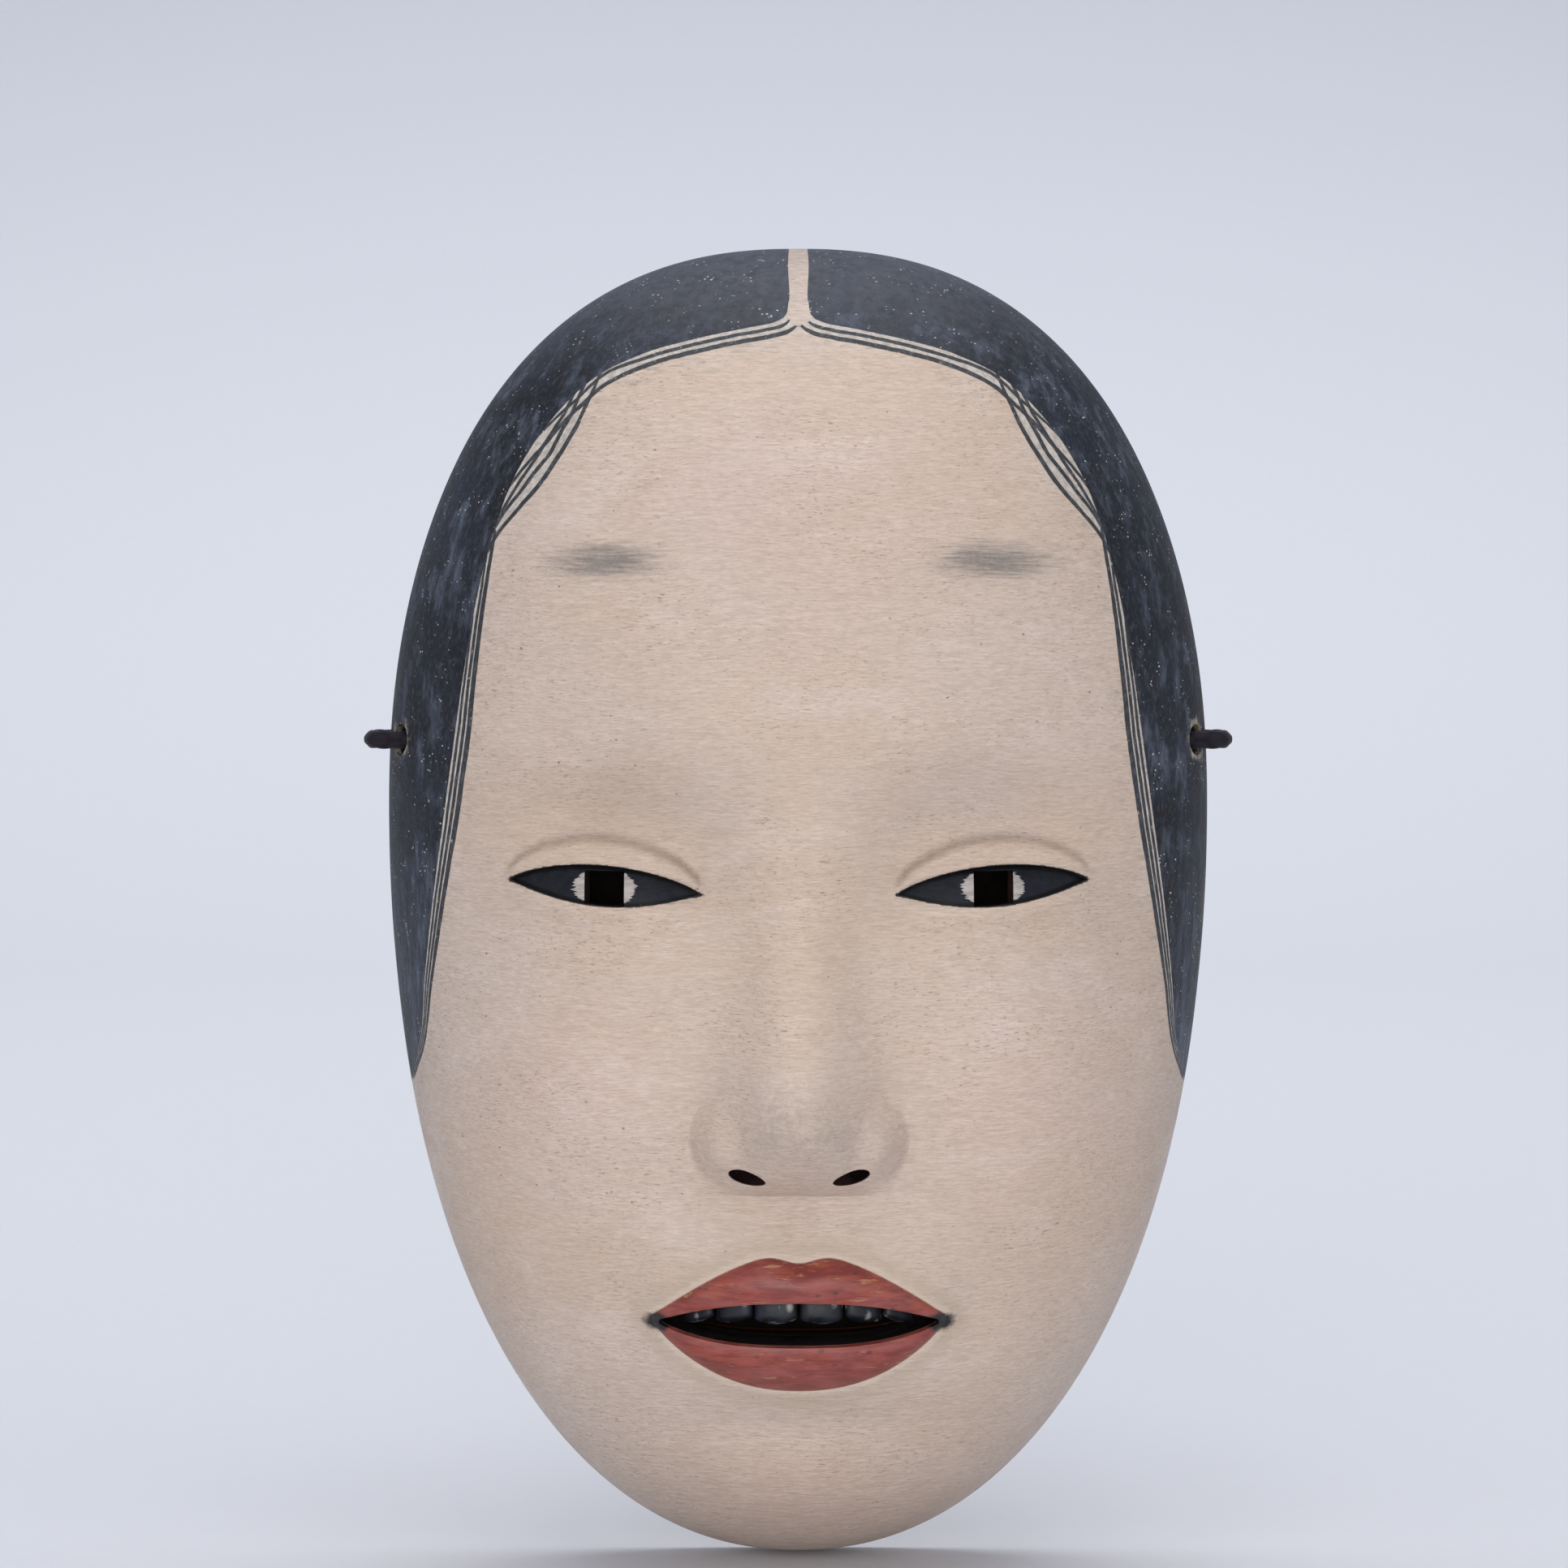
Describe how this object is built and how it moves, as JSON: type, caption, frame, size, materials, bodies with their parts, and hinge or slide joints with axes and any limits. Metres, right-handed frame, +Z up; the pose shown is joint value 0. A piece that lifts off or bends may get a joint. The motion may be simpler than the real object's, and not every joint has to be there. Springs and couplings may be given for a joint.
{
  "type": "noh mask",
  "caption": "Carved and painted oval face mask with a hollow back, pierced pupils, nostrils and mouth, and a black cord through both temples that hangs over a wall peg.",
  "frame": {"origin": "centre of the wall peg that the hanging cord runs over, on the wall plane, inside the hollow of the mask", "axes": "+Z up, from chin to crown; +Y into the wall, so the face looks along -Y; +X to the viewer's right"},
  "size_m": [0.1412, 0.0671, 0.2138],
  "materials": {
    "hinoki_wood": "bare carved cypress, showing only at worn bore edges and inside the eye, nostril and mouth openings",
    "gofun": "shell-white ground, warm pinkish beige, brushed in fine horizontal strokes, satin",
    "hair_ink": "blue-black ink over the ground, matte, worn lighter in patches",
    "lip_vermilion": "muted vermilion paint with worn streaks, satin",
    "eye_paint": "black and dark indigo paint with bare white beside the pupil, satin",
    "tooth_lacquer": "blackened teeth, glossy lacquer with light flecks",
    "back_lacquer": "dark red-brown lacquer over gouge marks, semi-gloss",
    "cord_braid": "soft braided near-black cord"
  },
  "bodies": {
    "root": {"mask_core": "hinoki_wood", "gofun_coat": "gofun", "hair_coat_left": "hair_ink", "hair_coat_right": "hair_ink", "upper_lip_coat": "lip_vermilion", "lower_lip_coat": "lip_vermilion", "eye_left": "eye_paint", "eye_right": "eye_paint", "upper_teeth": "tooth_lacquer", "back_lacquer": "back_lacquer", "hanging_cord": "cord_braid", "cord_loop_left": "cord_braid", "cord_loop_right": "cord_braid", "cord_knot_left": "cord_braid", "cord_knot_right": "cord_braid"}
  },
  "joints": []
}
